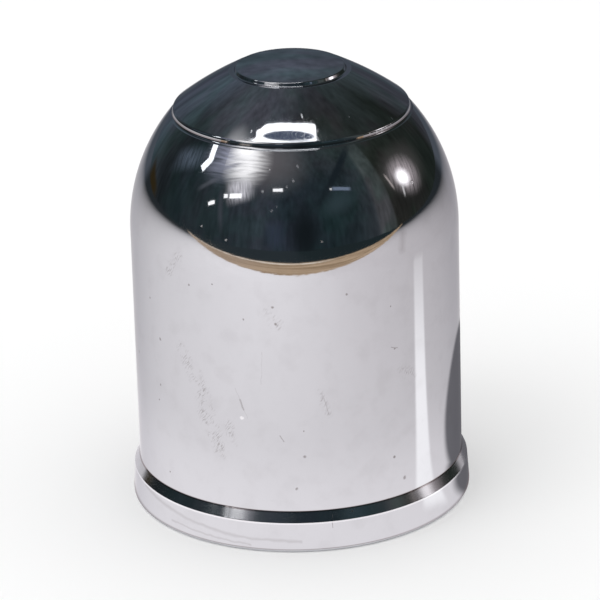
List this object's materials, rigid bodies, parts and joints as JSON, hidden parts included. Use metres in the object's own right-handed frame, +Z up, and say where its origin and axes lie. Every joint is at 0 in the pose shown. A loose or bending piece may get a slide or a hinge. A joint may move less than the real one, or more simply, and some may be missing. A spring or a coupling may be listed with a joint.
{
  "type": "tow ball cover",
  "caption": "Chrome tow ball cover: a one-piece hollow dome with a stepped cap, a raised top disc, a flanged mouth and grip ribs inside.",
  "frame": {"origin": "on the cover's axis, in the plane of the mouth that it stands on", "axes": "+Z up along the cover's axis, from the mouth towards the top disc"},
  "size_m": [0.0622, 0.0622, 0.0826],
  "materials": {
    "chrome_plating": "bright chrome plate on moulded plastic, with fine scratches and small nicks"
  },
  "bodies": {
    "root": {"tow_ball_cover": "chrome_plating"}
  },
  "joints": []
}
